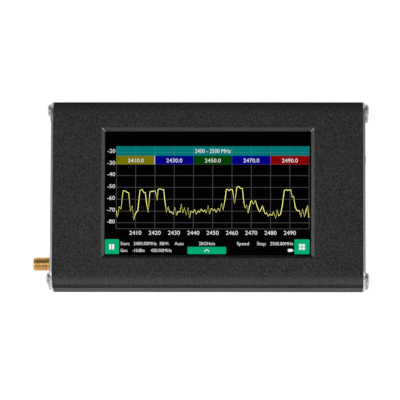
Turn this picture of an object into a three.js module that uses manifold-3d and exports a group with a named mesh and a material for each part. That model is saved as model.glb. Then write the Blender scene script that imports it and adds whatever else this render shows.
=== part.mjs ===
// Handheld spectrum analyser with a recessed touch screen, in millimetres, lying on its back.
// X runs along the screen, Y towards its top edge and Z out of it.
// The origin is the middle of the flat back of the case.
import * as THREE from "three";
import { mergeVertices } from "three/addons/utils/BufferGeometryUtils.js";
import Module from "manifold-3d";

// Case: two extruded half shells, closed by a thin plate at each end
const bodyLength = 136;
const bodyWidth = 81;
const bodyDepth = 27;
const plateThickness = 1;
const edgeRadius = 6;
const sideWall = 2.4;
const faceWall = 2.2;
const backWall = 2.2;
const seamBevel = 0.3;
const tongueInset = 0.3;
const tongueWidth = 0.8;
const tongueHeight = 1;
const railDepth = 2.1;
const railHeight = 1.7;

// Clearances: round what passes through a hole, and past what a cut runs
const clearance = 0.3;
const overrun = 1;

// Window in the front face, by the width of the face left round it
const faceBesideWindow = 23.5;
const faceAboveWindow = 13.5;
const windowLength = bodyLength - 2 * faceBesideWindow;
const windowWidth = bodyWidth - 2 * faceAboveWindow;
const windowChamfer = 1.5;

// End screws and their channels
const screwFromSide = 3.7;
const screwFromFace = 5;
const screwShankRadius = 1.5;
const screwShankLength = 8;
const screwHeadRadius = 2.7;
const screwHeadHeight = 1.65;
const screwHeadRim = 0.35;
const screwCrownRadius = 1.3;
const screwSocketRadius = 1.15;
const screwSocketDepth = 1;
const channelWall = 1.6;

// Display stack, from the face inwards
const gasketThickness = 0.3;
const gasketInset = 0.5;
const glassMarginX = 3.7;
const glassMarginY = 2.7;
const glassThickness = 1.1;
const panelThickness = 2.6;
const traySheet = 0.4;
const bracketSheet = 1;
const bracketTab = 7;
const bracketTabWidth = 9;
const tabFromTop = 5;
const spacerRadius = 2.7;

// Small screws that hold the bracket and the board
const smallShankRadius = 1.2;
const smallHeadRadius = 2.1;
const smallHeadHeight = 1.2;
const smallCrownRadius = 1.3;

// Main board
const boardThickness = 1.6;
const boardSideGap = 0.6;
const boardRightGap = 2.2;

// Antenna jack, on the board's left edge
const jackFromBottomEdge = 11.2;
const jackReach = 7.7;
const jackRadius = 3.15;
const jackPlainLength = 1;
const jackThreadPitch = 0.706;
const jackThreadDepth = 0.38;
const jackTipChamfer = 0.35;
const jackBoreRadius = 2.3;
const jackBaseHalf = 3.2;
const jackBaseThickness = 1.5;
const jackLegLength = 4;
const jackLegWidth = 1.1;
const jackLegThickness = 0.9;
const insulatorRecess = 1.9;
const contactRadius = 0.64;
const contactBoreRadius = 0.36;
const contactBoreDepth = 2.6;
const contactRecess = 2.1;
const contactTail = 3;

// Charging socket, on the board's right edge
const usbFromBottomEdge = 24.5;
const usbWidth = 8.94;
const usbHeight = 3.2;
const usbDepth = 7.3;
const usbSheet = 0.35;
const usbBackWall = 0.8;
const usbRecess = 0.4;
const usbTongueWidth = 6.2;
const usbTongueThickness = 0.7;
const usbTongueFromMouth = 1;

// Power button and the switch behind it
const buttonFromTopEdge = 24;
const buttonAboveBoard = 1.9;
const buttonTravel = 0.5;
const buttonRadius = 2;
const buttonProud = 0.3;
const buttonEdge = 0.3;
const buttonFlangeRadius = 2.6;
const buttonFlangeThickness = 0.8;
const buttonStemRadius = 1.2;
const buttonStemLength = 1.4;
const plungerRadius = 1;
const plungerProud = 1.7;
const plungerInside = 2;
const switchLength = 4;
const switchWidth = 6;
const switchHeight = 3.8;

// Charge lamp
const lampFromTopEdge = 30.5;
const lampAboveBoard = 1.4;
const lampRadius = 1;
const lampLength = 5.5;
const ledLength = 1.2;
const ledWidth = 1.6;
const ledHeight = 2;

// Screen can over the radio circuit, and the chips
const canLength = 30;
const canWidth = 24;
const canHeight = 3;
const canSheet = 0.4;
const canFromBoardEnd = 5.2;
const canFromSpacer = 2;
const canLidSkirt = 1.4;
const radioChipSide = 7;
const radioChipHeight = 0.9;
const crystalLength = 5;
const crystalWidth = 3.2;
const crystalHeight = 1.2;
const crystalFromChip = 9;
const processorSide = 12;
const processorHeight = 1.3;
const processorX = 8;
const processorY = 4;
const memoryLength = 8;
const memoryWidth = 6;
const memoryHeight = 1.5;
const memoryFromProcessor = 17;

// Display ribbon and its connector
const ribbonWidth = 15;
const ribbonThickness = 0.3;
const ribbonStartGap = 0.3;
const ribbonRun = 6.5;
const ribbonUnderPanelTop = 1.9;
const ribbonConnectorLength = 4;
const ribbonConnectorWidth = 18;
const ribbonConnectorHeight = 2;
const ribbonConnectorInset = 3;
const ribbonEntryHeight = 1.1;

// Battery, its pad, leads and plug
const batteryEndRoom = 28;
const batterySideRoom = 15.5;
const batteryLength = bodyLength - 2 * batteryEndRoom;
const batteryWidth = bodyWidth - 2 * batterySideRoom;
const batteryThickness = 6;
const batteryEdgeRadius = 2.2;
const batteryPadThickness = 0.5;
const batteryPadInset = 5;
const socketLength = 6;
const socketWidth = 8;
const socketHeight = 5;
const socketWall = 0.8;
const socketFromBoardEnd = 12.8;
const leadRoom = 12;
const plugLength = 7;
const leadRadius = 0.6;
const leadSpacing = 2.2;
const leadBow = 0.8;

// Steps round a full turn, and round a quarter turn of a case edge
const coarseSteps = 16;
const fineSteps = 24;
const quarterSteps = 16;
const threadRootShare = 0.5;
const shankReachShare = 0.33;
const crownShares = [[0.93, 0.62], [0.72, 0.88]];

// Planes that the pieces share
const halfWidth = bodyWidth / 2;
const halfLength = bodyLength / 2;
const shellEnd = halfLength - plateThickness;
const seamHeight = bodyDepth / 2;
const innerSide = halfWidth - sideWall;
const faceInside = bodyDepth - faceWall;
const channelRadius = screwShankRadius + clearance;
const channelY = halfWidth - screwFromSide;
const channelBlock = channelRadius + channelWall;
const jackHeight = seamHeight;
const boardTop = jackHeight - contactRadius;
const boardUnder = boardTop - boardThickness;
const boardLeft = clearance + jackBaseThickness - shellEnd;
const boardRight = shellEnd - boardRightGap;
const socketStart = boardRight - socketFromBoardEnd - socketLength;
const batteryEnd = socketStart - leadRoom;
const batteryCentreX = batteryEnd - batteryLength / 2;
const canCentreX = boardLeft + canFromBoardEnd + canLength / 2;
const jackY = jackFromBottomEdge - halfWidth;
const usbY = usbFromBottomEdge - halfWidth;
const usbHeightCentre = boardTop + usbHeight / 2;
const buttonY = halfWidth - buttonFromTopEdge;
const buttonHeight = boardTop + buttonAboveBoard;
const lampY = halfWidth - lampFromTopEdge;
const lampHeight = boardTop + lampAboveBoard;
const glassTop = faceInside - gasketThickness;
const glassUnder = glassTop - glassThickness;
const panelUnder = glassUnder - panelThickness;
const trayUnder = panelUnder - traySheet;
const bracketUnder = trayUnder - bracketSheet;
const spacerHeight = bracketUnder - boardTop;
const smallShankReach = spacerHeight * shankReachShare;
const glassX = windowLength / 2 + glassMarginX;
const glassY = windowWidth / 2 + glassMarginY;
const bracketX = glassX + bracketTab;
const spacerX = glassX + bracketTab / 2;
const spacerY = glassY - tabFromTop;
const canCentreY = spacerRadius + canFromSpacer + canWidth / 2 - spacerY;
const panelX = glassX - traySheet - clearance;
const panelY = glassY - traySheet - clearance;

// Materials
function paint(colour, roughness, metalness) {
  return new THREE.MeshStandardMaterial({ color: colour, roughness, metalness });
}
const blackCoat = paint(0x2c2c2e, 0.7, 0.2);
const plateMetal = paint(0xa3a4a6, 0.4, 0.9);
const screwMetal = paint(0xb4b5b7, 0.3, 0.9);
const gold = paint(0xd4a55e, 0.25, 1);
const whitePlastic = paint(0xe9e7e0, 0.6, 0);
const blackPlastic = paint(0x18181a, 0.6, 0);
const screenGlass = paint(0x050608, 0.1, 0);
const sheetSteel = paint(0xbfc1c3, 0.4, 0.9);
const boardGreen = paint(0x1c4a33, 0.5, 0);
const foam = paint(0x222224, 0.95, 0);
const pouchFoil = paint(0x9da0a3, 0.45, 0.6);
const ribbonAmber = paint(0xa8662a, 0.4, 0);
const redWire = paint(0xb3231f, 0.5, 0);
const blackWire = paint(0x161616, 0.5, 0);
const clearPlastic = paint(0xdfe6e4, 0.2, 0);

// Exact quarter turns: each names where the shape's own axes go
function turn(xAxis, yAxis, zAxis) {
  const axes = [xAxis, yAxis, zAxis].map((axis) => new THREE.Vector3(...axis));
  return new THREE.Matrix4().makeBasis(...axes);
}
const towardsRight = turn([0, -1, 0], [1, 0, 0], [0, 0, 1]);
const towardsLeft = turn([0, 1, 0], [-1, 0, 0], [0, 0, 1]);
const towardsFront = turn([1, 0, 0], [0, 0, 1], [0, -1, 0]);
const towardsBack = turn([1, 0, 0], [0, 0, -1], [0, 1, 0]);
const alongLength = turn([0, 1, 0], [0, 0, 1], [1, 0, 0]);
const acrossWidth = turn([1, 0, 0], [0, 0, 1], [0, -1, 0]);

const wasm = await Module();
wasm.setup();

function solid(geometry) {
  const bare = geometry.clone();
  bare.deleteAttribute("normal");
  bare.deleteAttribute("uv");
  const merged = mergeVertices(bare);
  const vertProperties = merged.attributes.position.array;
  const triVerts = new Uint32Array(merged.index.array);
  return new wasm.Manifold(new wasm.Mesh({ numProp: 3, vertProperties, triVerts }));
}

function surface(body) {
  const mesh = body.getMesh();
  const geometry = new THREE.BufferGeometry();
  geometry.setAttribute("position", new THREE.BufferAttribute(new Float32Array(mesh.vertProperties), 3));
  geometry.setIndex(new THREE.BufferAttribute(new Uint32Array(mesh.triVerts), 1));
  geometry.computeVertexNormals();
  return geometry;
}

function cut(geometry, ...tools) {
  return surface(tools.reduce((body, tool) => body.subtract(solid(tool)), solid(geometry)));
}

function join(geometry, ...others) {
  return surface(others.reduce((body, other) => body.add(solid(other)), solid(geometry)));
}

// A block between two places along each axis
function block([x0, x1], [y0, y1], [z0, z1]) {
  const geometry = new THREE.BoxGeometry(x1 - x0, y1 - y0, z1 - z0);
  return geometry.translate((x0 + x1) / 2, (y0 + y1) / 2, (z0 + z1) / 2);
}

// A range that lies evenly on both sides of a middle
function about(middle, half) {
  return [middle - half, middle + half];
}

// A turned piece from its profile of radius and height, set on a point and pointed by a turn
function turned(profile, steps, pointing, [x, y, z]) {
  const points = profile.map(([radius, height]) => new THREE.Vector2(radius, height));
  return new THREE.LatheGeometry(points, steps).applyMatrix4(pointing).translate(x, y, z);
}

function rod(radius, length, steps, pointing, place) {
  return turned([[0, 0], [radius, 0], [radius, length], [0, length]], steps, pointing, place);
}

function circlePoints(radius, steps, [a, b]) {
  return Array.from({ length: steps }, (_, i) => {
    const angle = (i / steps) * 2 * Math.PI;
    return [a + radius * Math.cos(angle), b + radius * Math.sin(angle)];
  });
}

// A quarter circle from one angle to the next, both given in quarter turns
function quarterArc(radius, [a, b], startQuarter) {
  return Array.from({ length: quarterSteps + 1 }, (_, i) => {
    const angle = (startQuarter + i / quarterSteps) * (Math.PI / 2);
    return [a + radius * Math.cos(angle), b + radius * Math.sin(angle)];
  });
}

function roundedOutline(halfA, halfB, radius, [a, b]) {
  return [
    ...quarterArc(radius, [a + halfA - radius, b + halfB - radius], 0),
    ...quarterArc(radius, [a - halfA + radius, b + halfB - radius], 1),
    ...quarterArc(radius, [a - halfA + radius, b - halfB + radius], 2),
    ...quarterArc(radius, [a + halfA - radius, b - halfB + radius], 3),
  ];
}

function vectors(points) {
  return points.map(([a, b]) => new THREE.Vector2(a, b));
}

function extruded(outline, holes, depth) {
  const shape = new THREE.Shape(vectors(outline));
  shape.holes = holes.map((hole) => new THREE.Path(vectors(hole)));
  return new THREE.ExtrudeGeometry(shape, { depth, bevelEnabled: false });
}

// An outline of Y and Z, drawn out along X
function bar(outline, holes, [x0, x1]) {
  return extruded(outline, holes, x1 - x0).applyMatrix4(alongLength).translate(x0, 0, 0);
}

function mirroredOutline(half) {
  return [...half, ...half.map(([y, z]) => [-y, z]).reverse()];
}

const analyser = new THREE.Group();

function place(name, geometry, material) {
  const mesh = new THREE.Mesh(geometry, material);
  mesh.name = name;
  analyser.add(mesh);
}

// Screw places in the end plates: two near the face and two near the back
const screwPlaces = [
  ["top_front", channelY, bodyDepth - screwFromFace],
  ["bottom_front", -channelY, bodyDepth - screwFromFace],
  ["top_rear", channelY, screwFromFace],
  ["bottom_rear", -channelY, screwFromFace],
];

function channelHoles(height) {
  return [channelY, -channelY].map((y) => circlePoints(channelRadius, coarseSteps, [y, height]));
}

// Front shell: half the outline runs from the face round the outside to the seam and back inside
function frontShell() {
  const channelHeight = bodyDepth - screwFromFace;
  const lipSide = innerSide + tongueInset + tongueWidth + clearance;
  const lipTop = seamHeight + tongueHeight + clearance;
  const half = [
    ...quarterArc(edgeRadius, [halfWidth - edgeRadius, bodyDepth - edgeRadius], 0).reverse(),
    [halfWidth, seamHeight + seamBevel],
    [halfWidth - seamBevel, seamHeight],
    [lipSide, seamHeight],
    [lipSide, lipTop],
    [innerSide, lipTop],
    [innerSide, boardTop],
    [innerSide - railDepth, boardTop],
    [innerSide - railDepth, lipTop + railHeight],
    [innerSide, lipTop + railHeight],
    [innerSide, channelHeight - channelBlock],
    [channelY - channelBlock, channelHeight - channelBlock],
    [channelY - channelBlock, faceInside],
  ];
  const length = about(0, shellEnd);
  const shell = bar(mirroredOutline(half), channelHoles(channelHeight), length);
  const through = [faceInside - overrun, bodyDepth + overrun];
  const opening = block(about(0, windowLength / 2), about(0, windowWidth / 2), through);
  return cut(shell, opening, chamferTool());
}

// The window's chamfer leans out at 45 degrees, and its tool keeps that slope past the face
function chamferTool() {
  const height = windowChamfer + overrun;
  const tool = new THREE.BoxGeometry(windowLength, windowWidth, height);
  tool.translate(0, 0, bodyDepth - windowChamfer + height / 2);
  const points = tool.attributes.position;
  for (let i = 0; i < points.count; i += 1) {
    const lean = points.getZ(i) > bodyDepth ? height : 0;
    points.setX(i, points.getX(i) + Math.sign(points.getX(i)) * lean);
    points.setY(i, points.getY(i) + Math.sign(points.getY(i)) * lean);
  }
  return tool;
}

function rearShell() {
  const tongueSide = innerSide + tongueInset;
  const tongueTop = seamHeight + tongueHeight;
  const half = [
    [channelY - channelBlock, backWall],
    [channelY - channelBlock, screwFromFace + channelBlock],
    [innerSide, screwFromFace + channelBlock],
    [innerSide, boardUnder - railHeight],
    [innerSide - railDepth, boardUnder - railHeight],
    [innerSide - railDepth, boardUnder],
    [innerSide, boardUnder],
    [innerSide, seamHeight],
    [tongueSide, seamHeight],
    [tongueSide, tongueTop],
    [tongueSide + tongueWidth, tongueTop],
    [tongueSide + tongueWidth, seamHeight],
    [halfWidth - seamBevel, seamHeight],
    [halfWidth, seamHeight - seamBevel],
    ...quarterArc(edgeRadius, [halfWidth - edgeRadius, edgeRadius], 3).reverse(),
  ];
  return bar(mirroredOutline(half), channelHoles(screwFromFace), about(0, shellEnd));
}

function endPlate(holes, range) {
  const outline = roundedOutline(halfWidth, bodyDepth / 2, edgeRadius, [0, bodyDepth / 2]);
  const screwHoles = screwPlaces.map(([, y, z]) => circlePoints(channelRadius, coarseSteps, [y, z]));
  return bar(outline, [...screwHoles, ...holes], range);
}

function usbOutline(grow) {
  const halfHeight = usbHeight / 2 + grow;
  return roundedOutline(usbWidth / 2 + grow, halfHeight, halfHeight, [usbY, usbHeightCentre]);
}

function addCase() {
  const jackHole = circlePoints(jackRadius + clearance, fineSteps, [jackY, jackHeight]);
  const buttonHole = circlePoints(buttonRadius + clearance, fineSteps, [buttonY, buttonHeight]);
  const lampHole = circlePoints(lampRadius + clearance, coarseSteps, [lampY, lampHeight]);
  const rightHoles = [usbOutline(clearance), buttonHole, lampHole];
  place("front_shell", frontShell(), blackCoat);
  place("rear_shell", rearShell(), blackCoat);
  place("left_end_plate", endPlate([jackHole], [-halfLength, -shellEnd]), plateMetal);
  place("right_end_plate", endPlate(rightHoles, [shellEnd, halfLength]), plateMetal);
}

// A button-head screw with a hexagon socket, its head seated on the place it is given
function buttonHeadScrew(pointing, seat) {
  const domeHeight = screwHeadHeight - screwHeadRim;
  const crown = crownShares.map(([across, up]) => [
    screwCrownRadius + (screwHeadRadius - screwCrownRadius) * across,
    screwHeadRim + domeHeight * up,
  ]);
  const profile = [
    [0, -screwShankLength],
    [screwShankRadius, -screwShankLength],
    [screwShankRadius, 0],
    [screwHeadRadius, 0],
    [screwHeadRadius, screwHeadRim],
    ...crown,
    [screwCrownRadius, screwHeadHeight],
    [0, screwHeadHeight],
  ];
  const middle = [0, 0, 0];
  const unturned = new THREE.Matrix4();
  const body = turned(profile, coarseSteps, unturned, middle);
  const socketHeight = screwSocketDepth + overrun;
  const socket = new THREE.CylinderGeometry(screwSocketRadius, screwSocketRadius, socketHeight, 6);
  socket.translate(0, screwHeadHeight - screwSocketDepth + socketHeight / 2, 0);
  return cut(body, socket).applyMatrix4(pointing).translate(...seat);
}

function addEndScrews() {
  for (const [corner, y, z] of screwPlaces) {
    const left = buttonHeadScrew(towardsLeft, [-halfLength, y, z]);
    const right = buttonHeadScrew(towardsRight, [halfLength, y, z]);
    place(`left_screw_${corner}`, left, screwMetal);
    place(`right_screw_${corner}`, right, screwMetal);
  }
}

// Display: gasket under the face, touch glass, panel in its tray, and the bracket that carries them
function addDisplay() {
  const ring = block(about(0, glassX), about(0, glassY), [glassTop, faceInside]);
  const ringOpening = block(
    about(0, windowLength / 2 + gasketInset),
    about(0, windowWidth / 2 + gasketInset),
    [glassTop - overrun, faceInside + overrun],
  );
  place("display_gasket", cut(ring, ringOpening), foam);
  place("touch_glass", block(about(0, glassX), about(0, glassY), [glassUnder, glassTop]), screenGlass);
  place("display_panel", block(about(0, panelX), about(0, panelY), [panelUnder, glassUnder]), screenGlass);

  const tray = block(about(0, glassX), about(0, glassY), [trayUnder, glassUnder]);
  const trayInside = block(
    about(0, panelX + clearance),
    about(0, panelY + clearance),
    [panelUnder, glassUnder + overrun],
  );
  const ribbonGate = block(
    [panelX, glassX + overrun],
    about(0, ribbonWidth / 2 + clearance),
    [panelUnder, glassUnder + overrun],
  );
  place("display_tray", cut(tray, trayInside, ribbonGate), sheetSteel);
  place("display_bracket", bracket(), sheetSteel);
}

function bracket() {
  const height = [bracketUnder, trayUnder];
  const plate = block(about(0, glassX), about(0, glassY), height);
  const tabs = [spacerY, -spacerY].map((y) => {
    return block(about(0, bracketX), about(y, bracketTabWidth / 2), height);
  });
  const joined = join(plate, ...tabs);
  const holeHeight = bracketSheet + 2 * overrun;
  const holes = spacerPlaces().map(([, x, y]) => {
    const start = [x, y, bracketUnder - overrun];
    return rod(smallShankRadius + clearance, holeHeight, coarseSteps, towardsFront, start);
  });
  return cut(joined, ...holes);
}

function spacerPlaces() {
  return [
    ["left_top", -spacerX, spacerY],
    ["left_bottom", -spacerX, -spacerY],
    ["right_top", spacerX, spacerY],
    ["right_bottom", spacerX, -spacerY],
  ];
}

// A small screw whose shank passes a sheet and reaches on into the spacer
function smallScrew(sheet, pointing, seat) {
  const profile = [
    [0, -sheet - smallShankReach],
    [smallShankRadius, -sheet - smallShankReach],
    [smallShankRadius, 0],
    [smallHeadRadius, 0],
    [smallHeadRadius, smallHeadHeight / 2],
    [smallCrownRadius, smallHeadHeight],
    [0, smallHeadHeight],
  ];
  return turned(profile, coarseSteps, pointing, seat);
}

function addSpacers() {
  const bore = smallShankRadius + clearance;
  const inside = [[bore, spacerHeight], [bore, 0]];
  const profile = [[bore, 0], [spacerRadius, 0], [spacerRadius, spacerHeight], ...inside];
  for (const [corner, x, y] of spacerPlaces()) {
    const spacer = turned(profile, coarseSteps, towardsFront, [x, y, boardTop]);
    place(`spacer_${corner}`, spacer, gold);
    place(`bracket_screw_${corner}`, smallScrew(bracketSheet, towardsFront, [x, y, trayUnder]), screwMetal);
    place(`board_screw_${corner}`, smallScrew(boardThickness, towardsBack, [x, y, boardUnder]), screwMetal);
  }
}

function addBoard() {
  const board = block([boardLeft, boardRight], about(0, innerSide - boardSideGap), [boardUnder, boardTop]);
  const holeHeight = boardThickness + 2 * overrun;
  const holes = spacerPlaces().map(([, x, y]) => {
    const start = [x, y, boardUnder - overrun];
    return rod(smallShankRadius + clearance, holeHeight, coarseSteps, towardsFront, start);
  });
  place("main_board", cut(board, ...holes), boardGreen);
}

// Antenna jack: square base on the board's edge, four legs, and a threaded barrel out of the plate
function jackBody() {
  const barrelStart = halfLength - plateThickness - clearance;
  const barrel = halfLength + jackReach - barrelStart;
  const threadStart = halfLength + jackPlainLength - barrelStart;
  const threadTurns = Math.floor((barrel - jackTipChamfer - threadStart) / jackThreadPitch);
  const root = jackRadius - jackThreadDepth;
  const ridges = Array.from({ length: threadTurns }, (_, i) => {
    const low = threadStart + i * jackThreadPitch;
    return [[jackRadius, low], [root, low + jackThreadPitch * threadRootShare]];
  }).flat();
  const profile = [
    [jackBoreRadius, 0],
    [jackRadius, 0],
    ...ridges,
    [jackRadius, threadStart + threadTurns * jackThreadPitch],
    [jackRadius, barrel - jackTipChamfer],
    [jackRadius - jackTipChamfer, barrel],
    [jackBoreRadius, barrel],
    [jackBoreRadius, 0],
  ];
  const tube = turned(profile, fineSteps, towardsLeft, [-barrelStart, jackY, jackHeight]);
  const baseRange = [-barrelStart, boardLeft];
  const square = [about(jackY, jackBaseHalf), about(jackHeight, jackBaseHalf)];
  const base = block(baseRange, ...square);
  const boreLength = jackBaseThickness + 2 * overrun;
  const boreStart = [boardLeft + overrun, jackY, jackHeight];
  const bore = rod(jackBoreRadius, boreLength, fineSteps, towardsLeft, boreStart);
  const legs = [jackY - jackBaseHalf, jackY + jackBaseHalf - jackLegWidth].flatMap((y) => {
    const across = [y, y + jackLegWidth];
    const along = [-barrelStart, boardLeft + jackLegLength];
    const above = block(along, across, [boardTop, boardTop + jackLegThickness]);
    const below = block(along, across, [boardUnder - jackLegThickness, boardUnder]);
    return [above, below];
  });
  return join(cut(base, bore), tube, ...legs);
}

function addJack() {
  place("antenna_jack", jackBody(), gold);
  const tip = -halfLength - jackReach;
  const insulatorLength = boardLeft - tip - insulatorRecess;
  const hole = contactRadius + clearance;
  const outside = jackBoreRadius - clearance;
  const sleeve = [[hole, 0], [outside, 0], [outside, insulatorLength], [hole, insulatorLength], [hole, 0]];
  const sleeveStart = [boardLeft, jackY, jackHeight];
  place("jack_insulator", turned(sleeve, fineSteps, towardsLeft, sleeveStart), whitePlastic);
  const contactLength = boardLeft + contactTail - tip - contactRecess;
  const contact = [
    [0, 0],
    [contactRadius, 0],
    [contactRadius, contactLength],
    [contactBoreRadius, contactLength],
    [contactBoreRadius, contactLength - contactBoreDepth],
    [0, contactLength - contactBoreDepth],
  ];
  const contactStart = [boardLeft + contactTail, jackY, jackHeight];
  place("jack_contact", turned(contact, coarseSteps, towardsLeft, contactStart), gold);
}

function addUsbSocket() {
  const mouth = halfLength - usbRecess;
  const back = mouth - usbDepth;
  const shell = bar(usbOutline(0), [], [back, mouth]);
  const inside = bar(usbOutline(-usbSheet), [], [back + usbBackWall, mouth + overrun]);
  place("usb_shell", cut(shell, inside), sheetSteel);
  const tongue = block(
    [back + usbBackWall, mouth - usbTongueFromMouth],
    about(usbY, usbTongueWidth / 2),
    about(usbHeightCentre, usbTongueThickness / 2),
  );
  place("usb_tongue", tongue, blackPlastic);
}

// Power button: a flanged cap in the right end plate, then the switch's plunger and its housing
function addPowerButton() {
  const flangeOutside = shellEnd - clearance;
  const capStart = flangeOutside - buttonFlangeThickness - buttonStemLength;
  const flangeInside = buttonStemLength;
  const flangeEnd = flangeInside + buttonFlangeThickness;
  const capEnd = halfLength + buttonProud - capStart;
  const cap = [
    [0, 0],
    [buttonStemRadius, 0],
    [buttonStemRadius, flangeInside],
    [buttonFlangeRadius, flangeInside],
    [buttonFlangeRadius, flangeEnd],
    [buttonRadius, flangeEnd],
    [buttonRadius, capEnd - buttonEdge],
    [buttonRadius - buttonEdge, capEnd],
    [0, capEnd],
  ];
  const capPlace = [capStart, buttonY, buttonHeight];
  place("power_button", turned(cap, fineSteps, towardsRight, capPlace), blackPlastic);

  const plungerEnd = capStart - clearance;
  const plungerStart = plungerEnd - plungerProud - plungerInside;
  const plungerLength = plungerProud + plungerInside;
  const plungerPlace = [plungerStart, buttonY, buttonHeight];
  const plunger = rod(plungerRadius, plungerLength, coarseSteps, towardsRight, plungerPlace);
  place("switch_plunger", plunger, whitePlastic);

  const switchFace = plungerEnd - plungerProud;
  const housing = block(
    [switchFace - switchLength, switchFace],
    about(buttonY, switchWidth / 2),
    [boardTop, boardTop + switchHeight],
  );
  const wellDepth = plungerInside + buttonTravel + clearance;
  const wellStart = [switchFace - wellDepth, buttonY, buttonHeight];
  const well = rod(plungerRadius + clearance, wellDepth + overrun, coarseSteps, towardsRight, wellStart);
  place("power_switch", cut(housing, well), blackPlastic);
}

function addLamp() {
  const inner = halfLength - lampLength;
  const pipe = rod(lampRadius, lampLength, coarseSteps, towardsRight, [inner, lampY, lampHeight]);
  place("lamp_pipe", pipe, clearPlastic);
  const ledFace = inner - clearance;
  const led = block(
    [ledFace - ledLength, ledFace],
    about(lampY, ledWidth / 2),
    [boardTop, boardTop + ledHeight],
  );
  place("charge_led", led, whitePlastic);
}

// A chip that lies flat on the board
function chip([x, y], length, width, height) {
  return block(about(x, length / 2), about(y, width / 2), [boardTop, boardTop + height]);
}

function addChips() {
  const fence = chip([canCentreX, canCentreY], canLength, canWidth, canHeight);
  const room = block(
    about(canCentreX, canLength / 2 - canSheet),
    about(canCentreY, canWidth / 2 - canSheet),
    [boardTop - overrun, boardTop + canHeight + overrun],
  );
  place("shield_fence", cut(fence, room), sheetSteel);

  const fenceTop = boardTop + canHeight;
  const skirtX = canLength / 2 + clearance;
  const skirtY = canWidth / 2 + clearance;
  const lid = block(
    about(canCentreX, skirtX + canSheet),
    about(canCentreY, skirtY + canSheet),
    [fenceTop - canLidSkirt, fenceTop + canSheet],
  );
  const lidInside = block(
    about(canCentreX, skirtX),
    about(canCentreY, skirtY),
    [fenceTop - canLidSkirt - overrun, fenceTop],
  );
  place("shield_lid", cut(lid, lidInside), sheetSteel);

  const radioPlace = [canCentreX, canCentreY];
  const crystalPlace = [canCentreX + crystalFromChip, canCentreY];
  const processorPlace = [processorX, processorY];
  const memoryPlace = [processorX + memoryFromProcessor, processorY];
  place("radio_chip", chip(radioPlace, radioChipSide, radioChipSide, radioChipHeight), blackPlastic);
  place("reference_crystal", chip(crystalPlace, crystalLength, crystalWidth, crystalHeight), sheetSteel);
  place("processor", chip(processorPlace, processorSide, processorSide, processorHeight), blackPlastic);
  place("memory_chip", chip(memoryPlace, memoryLength, memoryWidth, memoryHeight), blackPlastic);
}

// The ribbon leaves the panel's right edge, bends round and runs back into its connector
function addRibbon() {
  const connectorEnd = glassX + ribbonConnectorInset;
  const connector = block(
    [connectorEnd - ribbonConnectorLength, connectorEnd],
    about(0, ribbonConnectorWidth / 2),
    [boardTop, boardTop + ribbonConnectorHeight],
  );
  place("ribbon_connector", connector, blackPlastic);

  const high = glassUnder - ribbonUnderPanelTop;
  const low = boardTop + ribbonEntryHeight;
  const bend = (high - low) / 2;
  const bendX = panelX + ribbonRun;
  const half = ribbonThickness / 2;
  const middle = [bendX, (high + low) / 2];
  const around = (radius) => [
    ...quarterArc(radius, middle, -1),
    ...quarterArc(radius, middle, 0).slice(1),
  ];
  const outline = [
    [connectorEnd + ribbonStartGap, low - half],
    ...around(bend + half),
    [panelX + ribbonStartGap, high + half],
    [panelX + ribbonStartGap, high - half],
    ...around(bend - half).reverse(),
    [connectorEnd + ribbonStartGap, low + half],
  ];
  const strip = extruded(outline, [], ribbonWidth).applyMatrix4(acrossWidth);
  place("display_ribbon", strip.translate(0, ribbonWidth / 2, 0), ribbonAmber);
}

function addBattery() {
  const padTop = backWall + batteryPadThickness;
  const pad = block(
    about(batteryCentreX, batteryLength / 2 - batteryPadInset),
    about(0, batteryWidth / 2 - batteryPadInset),
    [backWall, padTop],
  );
  place("battery_pad", pad, foam);
  const batteryMiddle = padTop + batteryThickness / 2;
  const section = [batteryWidth / 2, batteryThickness / 2, batteryEdgeRadius];
  const outline = roundedOutline(...section, [0, batteryMiddle]);
  place("battery", bar(outline, [], about(batteryCentreX, batteryLength / 2)), pouchFoil);

  const socketMiddle = boardUnder - socketHeight / 2;
  const socket = block(
    [socketStart, socketStart + socketLength],
    about(0, socketWidth / 2),
    [boardUnder - socketHeight, boardUnder],
  );
  const wellEnd = socketStart + socketLength - socketWall;
  const well = block(
    [socketStart - overrun, wellEnd],
    about(0, socketWidth / 2 - socketWall),
    about(socketMiddle, socketHeight / 2 - socketWall),
  );
  place("battery_socket", cut(socket, well), whitePlastic);

  const plugStart = wellEnd - clearance - plugLength;
  const plug = block(
    [plugStart, wellEnd - clearance],
    about(0, socketWidth / 2 - socketWall - clearance),
    about(socketMiddle, socketHeight / 2 - socketWall - clearance),
  );
  place("battery_plug", plug, whitePlastic);

  const from = [batteryEnd + clearance, batteryMiddle];
  const to = [plugStart - clearance, socketMiddle];
  place("battery_lead_red", lead(from, to, leadSpacing / 2), redWire);
  place("battery_lead_black", lead(from, to, -leadSpacing / 2), blackWire);
}

// A lead that leaves its tab along X, swings up and enters the plug along X
function lead([x0, z0], [x1, z1], y) {
  const quarter = (x1 - x0) / 4;
  const route = new THREE.CatmullRomCurve3([
    new THREE.Vector3(x0, y, z0),
    new THREE.Vector3(x0 + quarter, y, z0),
    new THREE.Vector3((x0 + x1) / 2, y + Math.sign(y) * leadBow, (z0 + z1) / 2),
    new THREE.Vector3(x1 - quarter, y, z1),
    new THREE.Vector3(x1, y, z1),
  ]);
  const section = new THREE.Shape(vectors(circlePoints(leadRadius, 8, [0, 0])));
  return new THREE.ExtrudeGeometry(section, { steps: 10, extrudePath: route });
}

addCase();
addEndScrews();
addDisplay();
addSpacers();
addBoard();
addJack();
addUsbSocket();
addPowerButton();
addLamp();
addChips();
addRibbon();
addBattery();

export default analyser;
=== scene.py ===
import math
import random

import bpy
from mathutils import Matrix, Vector


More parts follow.
